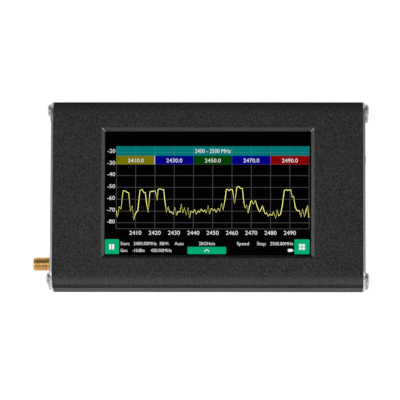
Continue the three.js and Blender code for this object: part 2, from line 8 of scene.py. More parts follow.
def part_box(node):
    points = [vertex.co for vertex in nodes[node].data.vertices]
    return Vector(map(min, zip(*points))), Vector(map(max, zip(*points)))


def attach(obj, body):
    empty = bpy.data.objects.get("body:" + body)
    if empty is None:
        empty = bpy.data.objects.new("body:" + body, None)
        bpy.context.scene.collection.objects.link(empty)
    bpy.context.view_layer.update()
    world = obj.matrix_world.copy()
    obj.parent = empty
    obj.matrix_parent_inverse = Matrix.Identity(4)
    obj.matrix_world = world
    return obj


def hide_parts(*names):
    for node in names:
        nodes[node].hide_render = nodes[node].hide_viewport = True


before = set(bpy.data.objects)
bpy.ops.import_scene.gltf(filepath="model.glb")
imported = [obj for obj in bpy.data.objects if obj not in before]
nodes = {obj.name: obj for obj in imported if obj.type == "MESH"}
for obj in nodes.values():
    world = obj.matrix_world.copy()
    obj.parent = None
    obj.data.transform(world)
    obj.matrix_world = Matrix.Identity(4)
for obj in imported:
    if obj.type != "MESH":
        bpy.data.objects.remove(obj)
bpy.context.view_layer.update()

mm = 0.001
facing = 0.9  # a face looks along an axis where its normal has more than this share of it
touching = 0.01  # millimetres
print("the packed model is in place:", len(nodes), "nodes")


# Selecting and shaping, used by every piece

cleaning = {"weldWithin": 0.002, "flatWithin": 0.5, "sharpAbove": 28, "smoothBelow": 32}  # mm, then degrees


def takeUp(piece):
    if bpy.context.mode != "OBJECT":
        bpy.ops.object.mode_set(mode="OBJECT")
    bpy.ops.object.select_all(action="DESELECT")
    piece.select_set(True)
    bpy.context.view_layer.objects.active = piece


def justAdded(name):
    piece = bpy.context.object
    piece.name = name
    piece.data.name = name
    return piece


def beginEdit(piece, kind):
    takeUp(piece)
    bpy.ops.object.mode_set(mode="EDIT")
    bpy.ops.mesh.select_mode(type=kind)
    bpy.ops.mesh.select_all(action="DESELECT")


def endEdit():
    bpy.ops.object.mode_set(mode="OBJECT")


def selectAll():
    bpy.ops.mesh.select_all(action="SELECT")


def extrudeUp(rise):
    bpy.ops.mesh.extrude_region_move(TRANSFORM_OT_translate={"value": (0, 0, rise * mm)})


def scaleAcross(share, height):  # about the Z axis, in the level plane
    bpy.ops.transform.resize(value=(share, share, 1), center_override=(0, 0, height * mm))


def addCylinder(name, sides, radius, low, high):
    middle = (0, 0, (low + high) / 2 * mm)
    bpy.ops.mesh.primitive_cylinder_add(vertices=sides, radius=radius * mm, depth=(high - low) * mm, location=middle)
    piece = justAdded(name)
    applyPlace(piece)
    return piece


def addBox(name, middle, size, turn=0):  # middle in metres, size in mm, turn about X in degrees
    bpy.ops.mesh.primitive_cube_add(size=1, location=middle, rotation=(math.radians(turn), 0, 0))
    piece = justAdded(name)
    piece.scale = Vector(size) * mm
    applyPlace(piece)
    return piece


def pickFaces(piece, test):  # test(centre in mm, normal); leaves the piece in edit mode
    beginEdit(piece, "FACE")
    endEdit()
    for face in piece.data.polygons:
        face.select = test(face.center / mm, face.normal)
    bpy.ops.object.mode_set(mode="EDIT")


def pickPoints(piece, test):
    beginEdit(piece, "VERT")
    endEdit()
    for point in piece.data.vertices:
        point.select = test(point.co / mm)
    bpy.ops.object.mode_set(mode="EDIT")


def looksUp(centre, normal):
    return normal.z > facing


def anywhere(point):
    return True


def bevelSharp(piece, width, test, steps=2, longest=math.inf):  # both ends of an edge pass the test
    beginEdit(piece, "EDGE")
    bpy.ops.mesh.edges_select_sharp(sharpness=math.radians(cleaning["sharpAbove"]))
    endEdit()
    mesh = piece.data
    for edge in mesh.edges:
        if edge.select:
            ends = [mesh.vertices[i].co / mm for i in edge.vertices]
            edge.select = all(test(end) for end in ends) and (ends[1] - ends[0]).length < longest
    bpy.ops.object.mode_set(mode="EDIT")
    bpy.ops.mesh.bevel(offset=width * mm, segments=steps, profile=0.5, affect="EDGES", clamp_overlap=True)
    endEdit()


def newObject(name, data):
    piece = bpy.data.objects.new(name, data)
    bpy.context.scene.collection.objects.link(piece)
    return piece


def copyOfNode(nodeName, name):
    piece = newObject(name, nodes[nodeName].data.copy())
    piece.data.name = name
    piece.data.materials.clear()
    takeUp(piece)
    bpy.ops.mesh.customdata_custom_splitnormals_clear()
    beginEdit(piece, "VERT")
    selectAll()
    bpy.ops.mesh.remove_doubles(threshold=cleaning["weldWithin"] * mm)
    bpy.ops.mesh.dissolve_limited(angle_limit=math.radians(cleaning["flatWithin"]))
    endEdit()
    return piece


def applyModifier(piece, kind, **settings):
    takeUp(piece)
    modifier = piece.modifiers.new(kind.title(), kind)
    for name, value in settings.items():
        setattr(modifier, name, value)
    bpy.ops.object.modifier_apply(modifier=modifier.name)


def cutAway(piece, cutter):
    applyModifier(piece, "BOOLEAN", operation="DIFFERENCE", object=cutter, solver="EXACT")
    bpy.data.objects.remove(cutter)


def applyPlace(piece):
    takeUp(piece)
    bpy.ops.object.transform_apply(location=True, rotation=True, scale=True)


def joinPieces(pieces, name):
    takeUp(pieces[0])
    for piece in pieces[1:]:
        piece.select_set(True)
    if len(pieces) > 1:
        bpy.ops.object.join()
    return justAdded(name)


def finishPiece(piece, finish, replaced=(), body="analyser_case", weigh=True):
    takeUp(piece)
    bpy.ops.object.shade_smooth_by_angle(angle=math.radians(cleaning["smoothBelow"]))
    if weigh:  # broad flat faces keep their own normals beside a bevel
        applyModifier(piece, "WEIGHTED_NORMAL", keep_sharp=True)
    if finish not in piece.data.materials:
        piece.data.materials.append(materials[finish])
    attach(piece, body)
    if replaced:
        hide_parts(*replaced)


def softenedCopy(nodeName, name, edge, test, finish, steps=2):
    piece = copyOfNode(nodeName, name)
    bevelSharp(piece, edge, test, steps)
    finishPiece(piece, finish, [nodeName])


# Shader nodes

def addMath(tree, operation, first, second=None, clamp=False):
    node = tree.nodes.new("ShaderNodeMath")
    node.operation = operation
    node.use_clamp = clamp
    for slot, value in zip(node.inputs, (first, second)):
        if isinstance(value, (int, float)):
            slot.default_value = value
        elif value is not None:
            tree.links.new(value, slot)
    return node.outputs[0]


def times(tree, first, second, clamp=False):
    return addMath(tree, "MULTIPLY", first, second, clamp)


def addNoise(tree, vector, scale, detail=2.0, roughness=0.5):
    node = tree.nodes.new("ShaderNodeTexNoise")
    tree.links.new(vector, node.inputs["Vector"])
    node.inputs["Detail"].default_value = detail
    node.inputs["Roughness"].default_value = roughness
    if isinstance(scale, (int, float)):
        node.inputs["Scale"].default_value = scale
    else:
        tree.links.new(scale, node.inputs["Scale"])
    return node.outputs["Fac"]


def addRange(tree, value, low, high, toLow=0.0, toHigh=1.0):
    node = tree.nodes.new("ShaderNodeMapRange")
    tree.links.new(value, node.inputs["Value"])
    for label, number in zip(("From Min", "From Max", "To Min", "To Max"), (low, high, toLow, toHigh)):
        node.inputs[label].default_value = number
    return node.outputs["Result"]


materials = {}


def newMaterial(name, colour, **sockets):
    material = bpy.data.materials.new(name)
    materials[name] = material
    material.use_nodes = True
    tree = material.node_tree
    shader = tree.nodes["Principled BSDF"]
    shader.inputs["Base Color"].default_value = colour
    for label, value in sockets.items():
        shader.inputs[label.replace("_", " ")].default_value = value
    place = tree.nodes.new("ShaderNodeTexCoord").outputs["Object"]
    return tree, shader, place


def feed(shader, label, value):
    shader.id_data.links.new(value, shader.inputs[label])


# Camera, lamps, world and floor

viewPoint = {
    "aim": (-3.333, -3.215, 27.0), "heightAboveFace": 1900.0, "tiltTowardsLowerSide": 8.698,
    "tiltTowardsRightEnd": 1.2, "roll": 0.224, "lens": 401.46, "sensor": 36, "farClip": 30,
}

lamps = {
    "highSoftbox": {"place": (-40, -120, 450), "size": (420, 130), "watts": 0.77},
    "lowStrip": {"place": (-40, -480, 260), "size": (700, 160), "watts": 0.57},
    "leftPanel": {"place": (-620, -40, 200), "size": (420, 260), "watts": 1.10},
    "rightPanel": {"place": (620, -20, 200), "size": (420, 260), "watts": 0.76},
}

lampsAim = (0, 0, 13)

studio = {
    "worldGrey": 0.148, "floorGrey": 0.8, "floorRoughness": 0.9, "floorSpecular": 0.1, "floorDrop": 0.2,
    "glowNear": 0.82, "glowFar": 1.0, "nearReach": 350, "farReach": 1600,
    "floorRadius": 4000, "floorSides": 96, "wallHeight": 1500,
}


def lookMatrix(back, upHint):
    side = upHint.cross(back).normalized()
    return Matrix((side, back.cross(side), back)).transposed()


def addCamera():
    across = math.sin(math.radians(viewPoint["tiltTowardsRightEnd"]))
    down = -math.sin(math.radians(viewPoint["tiltTowardsLowerSide"]))
    back = Vector((across, down, math.sqrt(1 - across ** 2 - down ** 2)))
    place = Vector(viewPoint["aim"]) + back * viewPoint["heightAboveFace"] / back.z
    roll = Matrix.Rotation(math.radians(viewPoint["roll"]), 3, "Z")
    turn = (lookMatrix(back, Vector((0, 1, 0))) @ roll).to_euler()
    bpy.ops.object.camera_add(location=place * mm, rotation=turn)
    camera = justAdded("photoCamera")
    camera.data.sensor_width = viewPoint["sensor"]
    camera.data.lens = viewPoint["lens"]
    camera.data.clip_end = viewPoint["farClip"]
    bpy.context.scene.camera = camera


def addLamps():
    for name, lamp in lamps.items():
        place = Vector(lamp["place"]) * mm
        back = (place - Vector(lampsAim) * mm).normalized()
        turn = lookMatrix(back, Vector((0, 0, 1))).to_euler()
        bpy.ops.object.light_add(type="AREA", location=place, rotation=turn)
        light = justAdded(name)
        light.data.shape = "RECTANGLE"
        light.data.size, light.data.size_y = (side * mm for side in lamp["size"])
        light.data.energy = lamp["watts"]


def straightRays(tree):  # 1 for camera, mirror and see-through rays
    path = tree.nodes.new("ShaderNodeLightPath")
    first = addMath(tree, "ADD", path.outputs["Is Camera Ray"], path.outputs["Is Glossy Ray"])
    return addMath(tree, "ADD", first, path.outputs["Is Transmission Ray"], True)


def addWorld():
    world = bpy.data.worlds.new("paleStudio")
    bpy.context.scene.world = world
    world.use_nodes = True
    level = studio["worldGrey"]
    world.node_tree.nodes["Background"].inputs["Color"].default_value = (level, level, level, 1)


def addFloor():  # a round floor that turns up into a wall far away
    bpy.ops.mesh.primitive_circle_add(
        vertices=studio["floorSides"], radius=studio["floorRadius"] * mm, fill_type="NGON",
        location=(0, 0, -studio["floorDrop"] * mm))
    floor = justAdded("paleFloor")
    applyPlace(floor)
    beginEdit(floor, "EDGE")
    selectAll()
    bpy.ops.mesh.region_to_loop()
    extrudeUp(studio["wallHeight"])
    selectAll()
    bpy.ops.mesh.normals_make_consistent(inside=True)
    endEdit()
    grey = studio["floorGrey"]
    tree, shader, place = newMaterial(
        "paleFloorPaint", (grey, grey, grey, 1), Roughness=studio["floorRoughness"],
        Specular_IOR_Level=studio["floorSpecular"])
    away = tree.nodes.new("ShaderNodeVectorMath")
    away.operation = "LENGTH"
    tree.links.new(place, away.inputs[0])
    near, far = studio["nearReach"] * mm, studio["farReach"] * mm
    level = addRange(tree, away.outputs["Value"], near, far, studio["glowNear"], studio["glowFar"])
    light = tree.nodes.new("ShaderNodeEmission")
    tree.links.new(times(tree, straightRays(tree), level), light.inputs["Strength"])
    both = tree.nodes.new("ShaderNodeAddShader")
    tree.links.new(shader.outputs[0], both.inputs[0])
    tree.links.new(light.outputs[0], both.inputs[1])
    tree.links.new(both.outputs[0], tree.nodes["Material Output"].inputs["Surface"])
    floor.data.materials.append(materials["paleFloorPaint"])


bpy.context.scene.view_settings.view_transform = "Standard"
addCamera()
addLamps()
addWorld()
addFloor()
print("camera, lamps and floor are set")


# Node groups that several materials share

texture = {  # a noise is its scale, detail and roughness
    "beadBlend": 0.6, "beadHeight": 0.55, "softScale": 0.7, "softHeight": 0.6, "softNoise": (3.0, 0.6),
    "speckle": (0.36, 0.66), "wearSamples": 6, "wearTurn": (0.995, 0.8), "wearNoise": (900.0, 4.0, 0.65),
    "wearBreaks": (0.42, 0.62), "patchNoise": (38.0, 3.0, 0.55), "patches": (0.38, 0.72),
    "speckNoise": (1400.0, 2.0, 0.6), "specks": (0.40, 0.75, 0.35, 1.0), "lineStretch": (0.02, 1.0, 1.0),
    "wideLines": 0.12, "tone": (0.75, 1.25), "cellShare": 0.84, "frostNoise": (2200.0, 3.0, 0.6),
    "frostRoughness": (0.3, 0.7, 0.32, 0.52), "uneven": (0.3, 0.7, 0.94, 1.0),
}
groups = {}


def newGroup(name, inputs, outputs):
    group = bpy.data.node_groups.new(name, "ShaderNodeTree")
    groups[name] = group
    for label, value in inputs.items():
        kind = "NodeSocketVector" if label == "Vector" else "NodeSocketFloat"
        socket = group.interface.new_socket(name=label, in_out="INPUT", socket_type=kind)
        if kind == "NodeSocketFloat":
            socket.default_value = value
    for label in outputs:
        group.interface.new_socket(name=label, in_out="OUTPUT", socket_type="NodeSocketFloat")
    return group, group.nodes.new("NodeGroupInput").outputs, group.nodes.new("NodeGroupOutput").inputs


def makeFineGrain():  # beads of a powder coat or a moulded skin; Size is one bead in mm
    group, taken, given = newGroup("fineGrain", {"Vector": None, "Size": 0.4}, ["Height", "Speckle"])
    scale = addMath(group, "DIVIDE", 1 / mm, taken["Size"])
    beads = group.nodes.new("ShaderNodeTexVoronoi")
    beads.feature = "SMOOTH_F1"
    group.links.new(taken["Vector"], beads.inputs["Vector"])
    group.links.new(scale, beads.inputs["Scale"])
    beads.inputs["Smoothness"].default_value = texture["beadBlend"]
    soft = addNoise(group, taken["Vector"], times(group, scale, texture["softScale"]), *texture["softNoise"])
    dome = times(group, addMath(group, "SUBTRACT", 1.0, beads.outputs["Distance"]), texture["beadHeight"])
    height = addMath(group, "ADD", dome, times(group, soft, texture["softHeight"]))
    group.links.new(height, given["Height"])
    group.links.new(addRange(group, soft, *texture["speckle"]), given["Speckle"])


def makeEdgeWear():  # 1 on sharp edges, broken up by noise; Width is in metres
    group, taken, given = newGroup("edgeWear", {"Vector": None, "Width": 0.0003, "Amount": 1.0}, ["Mask"])
    rounded = group.nodes.new("ShaderNodeBevel")
    rounded.samples = texture["wearSamples"]
    group.links.new(taken["Width"], rounded.inputs["Radius"])
    geometry = group.nodes.new("ShaderNodeNewGeometry")
    along = group.nodes.new("ShaderNodeVectorMath")
    along.operation = "DOT_PRODUCT"
    group.links.new(rounded.outputs["Normal"], along.inputs[0])
    group.links.new(geometry.outputs["Normal"], along.inputs[1])
    edge = addRange(group, along.outputs["Value"], *texture["wearTurn"])
    broken = addRange(group, addNoise(group, taken["Vector"], *texture["wearNoise"]), *texture["wearBreaks"])
    worn = times(group, times(group, edge, broken), taken["Amount"], True)
    group.links.new(worn, given["Mask"])


def makeHandlingFilm():  # faint dust and finger film in soft patches
    group, taken, given = newGroup("handlingFilm", {"Vector": None, "Amount": 1.0}, ["Mask"])
    patches = addRange(group, addNoise(group, taken["Vector"], *texture["patchNoise"]), *texture["patches"])
    specks = addRange(group, addNoise(group, taken["Vector"], *texture["speckNoise"]), *texture["specks"])
    both = times(group, times(group, patches, specks), taken["Amount"], True)
    group.links.new(both, given["Mask"])


def makeToolLines():  # fine lines along X before the material's own Mapping turns them
    group, taken, given = newGroup("toolLines", {"Vector": None, "Spacing": 0.08}, ["Height", "Tone"])
    stretch = group.nodes.new("ShaderNodeVectorMath")
    stretch.operation = "MULTIPLY"
    group.links.new(taken["Vector"], stretch.inputs[0])
    stretch.inputs[1].default_value = texture["lineStretch"]
    scale = addMath(group, "DIVIDE", 1 / mm, taken["Spacing"])
    lines = addNoise(group, stretch.outputs[0], scale, *texture["softNoise"])
    wide = addNoise(group, stretch.outputs[0], times(group, scale, texture["wideLines"]))
    group.links.new(lines, given["Height"])
    group.links.new(addRange(group, addMath(group, "ADD", lines, wide), *texture["tone"]), given["Tone"])


def makeLitCells():  # the rows and columns of a lit screen, as a faint darker mesh
    group, taken, given = newGroup("litCells", {"Vector": None, "Pitch": 0.1108, "Depth": 0.12}, ["Level"])
    parts = group.nodes.new("ShaderNodeSeparateXYZ")
    group.links.new(taken["Vector"], parts.inputs[0])
    scale = addMath(group, "DIVIDE", 1 / mm, taken["Pitch"])
    level = None
    for axis in ("X", "Y"):
        phase = addMath(group, "FRACT", times(group, parts.outputs[axis], scale))
        gap = addMath(group, "GREATER_THAN", phase, texture["cellShare"])
        level = gap if level is None else addMath(group, "MAXIMUM", level, gap)
    kept = addMath(group, "SUBTRACT", 1.0, times(group, level, taken["Depth"]))
    group.links.new(kept, given["Level"])


makeFineGrain()
makeEdgeWear()
makeHandlingFilm()
makeToolLines()
makeLitCells()
print("shared node groups are made:", len(groups))


# Materials

def shade(red, green, blue):  # screen values 0 to 255 as linear colour
    parts = [value / 255 for value in (red, green, blue)]
    return (*[v / 12.92 if v <= 0.04045 else ((v + 0.055) / 1.055) ** 2.4 for v in parts], 1.0)


def turnedPlace(tree, place, turn=(0, 0, 0), scale=(1, 1, 1)):
    node = tree.nodes.new("ShaderNodeMapping")
    tree.links.new(place, node.inputs["Vector"])
    node.inputs["Rotation"].default_value = [math.radians(angle) for angle in turn]
    node.inputs["Scale"].default_value = scale
    return node.outputs["Vector"]


def useGroup(tree, name, place, **values):
    node = tree.nodes.new("ShaderNodeGroup")
    node.node_tree = groups[name]
    tree.links.new(place, node.inputs["Vector"])
    for label, value in values.items():
        node.inputs[label].default_value = value
    return node.outputs


def mixColour(tree, amount, first, second):
    node = tree.nodes.new("ShaderNodeMix")
    node.data_type = "RGBA"
    for slot, value in ((node.inputs[0], amount), (node.inputs[6], first), (node.inputs[7], second)):
        if isinstance(value, (int, float, tuple)):
            slot.default_value = value
        else:
            tree.links.new(value, slot)
    return node.outputs[2]


def addBump(tree, shader, height, strength, distance):
    node = tree.nodes.new("ShaderNodeBump")
    node.inputs["Strength"].default_value = strength
    node.inputs["Distance"].default_value = distance * mm
    tree.links.new(height, node.inputs["Height"])
    feed(shader, "Normal", node.outputs["Normal"])


def addWear(tree, place, colour, wear):  # bare material shows on the worn edges
    if not wear:
        return colour
    worn = useGroup(tree, "edgeWear", place, Width=wear["width"] * mm, Amount=wear["amount"])["Mask"]
    return mixColour(tree, worn, colour, wear["colour"])


def grainySkin(name, dark, light, size, roughness, bump, wear=None, film=0.0, **sockets):
    tree, shader, place = newMaterial(name, dark, **sockets)
    grain = useGroup(tree, "fineGrain", place, Size=size)
    colour = mixColour(tree, grain["Speckle"], dark, light)
    if film:
        dust = useGroup(tree, "handlingFilm", place, Amount=film)["Mask"]
        colour = mixColour(tree, dust, colour, dustColour)
    feed(shader, "Base Color", addWear(tree, place, colour, wear))
    feed(shader, "Roughness", addRange(tree, grain["Speckle"], 0, 1, *roughness))
    addBump(tree, shader, grain["Height"], *bump)


def metalSkin(name, colour, dull, roughness, spacing, bump, turn=(0, 0, 0), wear=None):
    tree, shader, place = newMaterial(name, colour, Metallic=1.0)
    lines = useGroup(tree, "toolLines", turnedPlace(tree, place, turn), Spacing=spacing)
    tint = mixColour(tree, lines["Tone"], dull, colour)
    film = useGroup(tree, "handlingFilm", place, Amount=0.35)["Mask"]
    tint = mixColour(tree, film, tint, dull)
    feed(shader, "Base Color", addWear(tree, place, tint, wear))
    feed(shader, "Roughness", addRange(tree, lines["Tone"], 0, 1, roughness[1], roughness[0]))
    addBump(tree, shader, lines["Height"], *bump)


def litColour(name, colour, alpha=1.0):  # a colour shown by the screen
    tree, shader, place = newMaterial(
        name, (0.0003, 0.0003, 0.0003, 1), Roughness=0.12, Specular_IOR_Level=0.05, Emission_Strength=1.0,
        Alpha=alpha)
    level = useGroup(tree, "litCells", place)["Level"]
    uneven = addRange(tree, addNoise(tree, place, 30.0, 1.0), *texture["uneven"])
    feed(shader, "Emission Color", mixColour(tree, times(tree, level, uneven), (0, 0, 0, 1), colour))


def boardMask(name):  # green solder mask over copper runs
    tree, shader, place = newMaterial(name, shade(28, 80, 50), Coat_Weight=0.3)
    runs = tree.nodes.new("ShaderNodeTexVoronoi")
    runs.distance = "CHEBYCHEV"
    runs.feature = "F1"
    tree.links.new(turnedPlace(tree, place, scale=(1, 1, 0.02)), runs.inputs["Vector"])
    runs.inputs["Scale"].default_value = 260.0
    stripes = addMath(tree, "FRACT", times(tree, runs.outputs["Distance"], 5.0))
    copper = addMath(tree, "GREATER_THAN", stripes, 0.62)
    feed(shader, "Base Color", mixColour(tree, copper, shade(20, 66, 40), shade(38, 104, 62)))
    feed(shader, "Roughness", addRange(tree, addNoise(tree, place, 300.0), 0.3, 0.7, 0.3, 0.45))
    addBump(tree, shader, copper, 0.4, 0.03)


def glassSheet(name):
    tree, shader, place = newMaterial(name, (0.0003, 0.0003, 0.0004, 1), Specular_IOR_Level=0.06)
    film = useGroup(tree, "handlingFilm", place, Amount=1.0)["Mask"]
    feed(shader, "Base Color", mixColour(tree, film, (0.0002, 0.0002, 0.0003, 1), (0.0006, 0.0006, 0.0007, 1)))
    feed(shader, "Roughness", addRange(tree, film, 0, 1, 0.05, 0.12))


def frostedRod(name):
    tree, shader, place = newMaterial(name, shade(214, 220, 218), Transmission_Weight=0.55, IOR=1.49)
    frost = addNoise(tree, place, *texture["frostNoise"])
    feed(shader, "Roughness", addRange(tree, frost, *texture["frostRoughness"]))
    feed(shader, "Base Color", mixColour(tree, frost, shade(196, 204, 202), shade(226, 230, 228)))
    addBump(tree, shader, frost, 0.3, 0.02)


dustColour = shade(150, 148, 144)
bareEdge = {"width": 0.25, "amount": 0.5, "colour": shade(120, 120, 122)}
goldRub = {"width": 0.1, "amount": 0.4, "colour": (0.93, 0.78, 0.5, 1)}
brightRub = {"width": 0.12, "amount": 0.5, "colour": (0.75, 0.75, 0.76, 1)}
softRub = {"width": 0.15, "amount": 0.4, "colour": shade(90, 90, 92)}

grainySkin("blackPowderCoat", (0.0200, 0.0200, 0.0204, 1), (0.0731, 0.0731, 0.0746, 1), 0.36, (0.52, 0.64),
    (0.8, 0.08), bareEdge, 0.03, Specular_IOR_Level=0.0, Coat_Roughness=0.5)
grainySkin("powderCoatChamfer", (0.0060, 0.0060, 0.0061, 1), (0.0192, 0.0192, 0.0196, 1), 0.42, (0.32, 0.44),
    (0.8, 0.08), bareEdge, 0.03, Specular_IOR_Level=0.54)
# the lower window chamfer's darker coat without reflection is painted shade
grainySkin("lowerChamferPaintedShade", (0.0106, 0.0106, 0.0108, 1), (0.0342, 0.0342, 0.0349, 1), 0.42, (0.5, 0.62),
    (0.8, 0.08), bareEdge, 0.03, Specular_IOR_Level=0.0)
# a pale coat for the upper window mitres only: a painted highlight
grainySkin("paintedMitreHighlight", (0.30, 0.30, 0.305, 1), (0.48, 0.48, 0.488, 1), 0.3, (0.3, 0.4), (0.5, 0.04),
    bareEdge, 0.03, Specular_IOR_Level=0.5)
metalSkin("satinPlateMetal", (0.52, 0.52, 0.53, 1), (0.44, 0.44, 0.45, 1), (0.33, 0.43), 0.10, (0.2, 0.01),
    (90, 0, 90), brightRub)
metalSkin("platedScrewSteel", (0.40, 0.40, 0.40, 1), (0.33, 0.33, 0.33, 1), (0.32, 0.42), 0.07, (0.2, 0.008),
    (0, 90, 0), brightRub)
metalSkin("turnedJackGold", (0.68, 0.42, 0.15, 1), (0.55, 0.32, 0.10, 1), (0.34, 0.46), 0.06, (0.2, 0.008),
    (0, 0, 90), goldRub)
metalSkin("spacerBrass", (0.72, 0.50, 0.22, 1), (0.52, 0.35, 0.15, 1), (0.28, 0.42), 0.08, (0.2, 0.01), (0, 90, 0))
metalSkin("tinnedSheet", (0.70, 0.70, 0.71, 1), (0.54, 0.54, 0.55, 1), (0.28, 0.45), 0.12, (0.25, 0.01))
metalSkin("batteryPouchFoil", (0.55, 0.56, 0.58, 1), (0.42, 0.43, 0.45, 1), (0.38, 0.55), 0.5, (0.4, 0.04))
metalSkin("contactGold", (0.90, 0.66, 0.28, 1), (0.74, 0.52, 0.2, 1), (0.18, 0.3), 0.05, (0.1, 0.005))
grainySkin("mouldedBlack", shade(18, 18, 19), shade(30, 30, 31), 0.22, (0.42, 0.58), (0.35, 0.02), softRub, 0.06)
grainySkin("keyBlack", shade(24, 24, 25), shade(38, 38, 39), 0.18, (0.36, 0.52), (0.35, 0.02), softRub, 0.08)
grainySkin("mouldedWhite", shade(226, 224, 216), shade(238, 236, 230), 0.25, (0.42, 0.56), (0.3, 0.02), None, 0.05)
grainySkin("turnedPtfe", shade(228, 226, 220), shade(240, 239, 234), 0.15, (0.38, 0.5), (0.3, 0.015), None, 0.05)
grainySkin("closedCellFoam", shade(26, 26, 27), shade(52, 52, 54), 0.35, (0.85, 0.98), (0.9, 0.12))
grainySkin("chipMouldBlack", shade(24, 25, 27), shade(40, 41, 43), 0.12, (0.5, 0.7), (0.4, 0.015))
grainySkin("panelDark", shade(12, 13, 16), shade(20, 21, 25), 0.3, (0.2, 0.35), (0.15, 0.01))
grainySkin("amberRibbonFilm", shade(150, 88, 30), shade(178, 108, 42), 0.6, (0.25, 0.4), (0.2, 0.02))
grainySkin("redLeadSkin", shade(160, 26, 22), shade(190, 38, 32), 0.3, (0.4, 0.55), (0.25, 0.02))
grainySkin("blackLeadSkin", shade(20, 20, 20), shade(34, 34, 34), 0.3, (0.4, 0.55), (0.25, 0.02))
boardMask("greenSolderMask")
glassSheet("displayGlass")
frostedRod("frostedLampRod")

# edge is a painted sheen on the near long edge; flank is the side walls' gloss
paintedSheenAndFlankGloss = {"edge": 0.5, "flank": 0.36, "paintedSheenUp": (23.8, 24.7), "paintedSheenNear": (-36.2, -37.6), "flankUp": (19.6, 18.8)}


def addRubbedSheen(material):  # a painted sheen along the near long edge only, on the side of the lamps, and a glossier coat on the side walls
    tree = material.node_tree
    parts = tree.nodes.new("ShaderNodeSeparateXYZ")
    tree.links.new(tree.nodes.new("ShaderNodeTexCoord").outputs["Object"], parts.inputs[0])

    def fade(axis, name, level=1.0):
        low, high = (place * mm for place in paintedSheenAndFlankGloss[name])
        return addRange(tree, parts.outputs[axis], low, high, 0.0, level)

    # painted sheen: a clear coat only along the near long edge, towards the lamps
    edge = times(tree, fade("Z", "paintedSheenUp", paintedSheenAndFlankGloss["edge"]), fade("Y", "paintedSheenNear"))
    level = addMath(tree, "ADD", edge, fade("Z", "flankUp", paintedSheenAndFlankGloss["flank"]))
    feed(tree.nodes["Principled BSDF"], "Coat Weight", level)


addRubbedSheen(materials["blackPowderCoat"])
print("materials are made:", len(materials))


# Front and rear shell, copied from the CAD and softened along the cut edges

shells = {
    "halfLength": 68.0, "halfWidth": 40.5, "depth": 27.0, "edgeRadius": 6.0, "end": 67.0, "slack": 0.05,
    "endEdge": 0.16, "windowEdge": 0.14, "mitreEdge": 0.8, "mitreLength": 5,
    "windowReach": (46.2, 28.7), "windowFloor": 24.7, "chamferSlope": (0.3, 0.9), "mitreTurn": 0.1, "lowerTurn": 0.5,
}
chamferCoatsAndPaintedLight = ("powderCoatChamfer", "lowerChamferPaintedShade", "paintedMitreHighlight")


def onOuterOutline(point):
    across = max(abs(point.y) - shells["halfWidth"] + shells["edgeRadius"], 0)
    up = max(point.z - shells["depth"] + shells["edgeRadius"], shells["edgeRadius"] - point.z, 0)
    return math.hypot(across, up) > shells["edgeRadius"] - shells["slack"]


def onShellEnd(point):
    return abs(point.x) > shells["end"] - shells["slack"] and onOuterOutline(point)


def onWindow(point):
    reachX, reachY = shells["windowReach"]
    return abs(point.x) < reachX and abs(point.y) < reachY and point.z > shells["windowFloor"]


def onChamfer(face):
    low, high = shells["chamferSlope"]
    return onWindow(face.center / mm) and low < face.normal.z < high


def chamferFinish(face):  # milled before coating, so its coat lies smoother; the upper mitres get a pale coat as a painted highlight, and the lower chamfer a darker coat without reflection as painted shade
    if min(abs(face.normal.x), abs(face.normal.y)) > shells["mitreTurn"] and face.center.y > 0:
        return "paintedMitreHighlight"
    return "lowerChamferPaintedShade" if face.normal.y > shells["lowerTurn"] else "powderCoatChamfer"


for nodeName, name in (("front_shell", "frontShellCoated"), ("rear_shell", "rearShellCoated")):
    shell = copyOfNode(nodeName, name)
    if nodeName == "front_shell":
        bevelSharp(shell, shells["mitreEdge"], onWindow, 4, longest=shells["mitreLength"])
        bevelSharp(shell, shells["windowEdge"], onWindow, 3)
    bevelSharp(shell, shells["endEdge"], onShellEnd)
    finishPiece(shell, "blackPowderCoat", [nodeName])
    if nodeName == "front_shell":
        # the window chamfer's own coats, with painted shade on the lower chamfer and a painted highlight on the
        # upper mitres
        for finish in chamferCoatsAndPaintedLight:
            shell.data.materials.append(materials[finish])
        for face in shell.data.polygons:
            if onChamfer(face):
                face.material_index = 1 + chamferCoatsAndPaintedLight.index(chamferFinish(face))
print("shells are softened")


# End plates with their cut edges broken

plates = {"outerEdge": 0.14, "holeEdge": 0.1, "outside": 67.9}


def onPlateHole(point):
    return abs(point.x) > plates["outside"] and not onOuterOutline(point)


for side in ("left", "right"):
    plate = copyOfNode(f"{side}_end_plate", f"{side}PlateSatin")
    bevelSharp(plate, plates["outerEdge"], onOuterOutline)
    bevelSharp(plate, plates["holeEdge"], onPlateHole)
    finishPiece(plate, "satinPlateMetal", [f"{side}_end_plate"])
print("end plates are softened")


# Threads, a trapezium swept along a helix and capped

thread = {"ridgeDepth": 1.3, "ridgeWidth": 0.86, "crestShare": 0.3, "weldWithin": 0.001}


def threadRidge(name, crest, depth, pitch, turns, steps, start):
    deep, wide = depth * thread["ridgeDepth"], pitch * thread["ridgeWidth"]
    middle = start + wide / 2
    bpy.ops.mesh.primitive_plane_add(size=1, rotation=(math.pi / 2, 0, 0))
    ridge = justAdded(name)
    ridge.scale = (deep * mm, wide * mm, 1)
    ridge.location = ((crest - deep / 2) * mm, 0, middle * mm)
    applyPlace(ridge)
    pickPoints(ridge, lambda point: point.x > crest - depth / 2)
    bpy.ops.transform.resize(value=(1, 1, thread["crestShare"]), center_override=(crest * mm, 0, middle * mm))
    endEdit()
    applyModifier(
        ridge, "SCREW", axis="Z", screw_offset=pitch * mm, iterations=turns, steps=steps, render_steps=steps,
        use_merge_vertices=False)
    beginEdit(ridge, "VERT")
    selectAll()
    bpy.ops.mesh.remove_doubles(threshold=thread["weldWithin"] * mm)
    selectAll()
    bpy.ops.mesh.fill_holes(sides=6)
    selectAll()
    bpy.ops.mesh.normals_make_consistent(inside=False)
    endEdit()
    return ridge


# Button-head screws: one modelled standing up, then eight copies in the plates

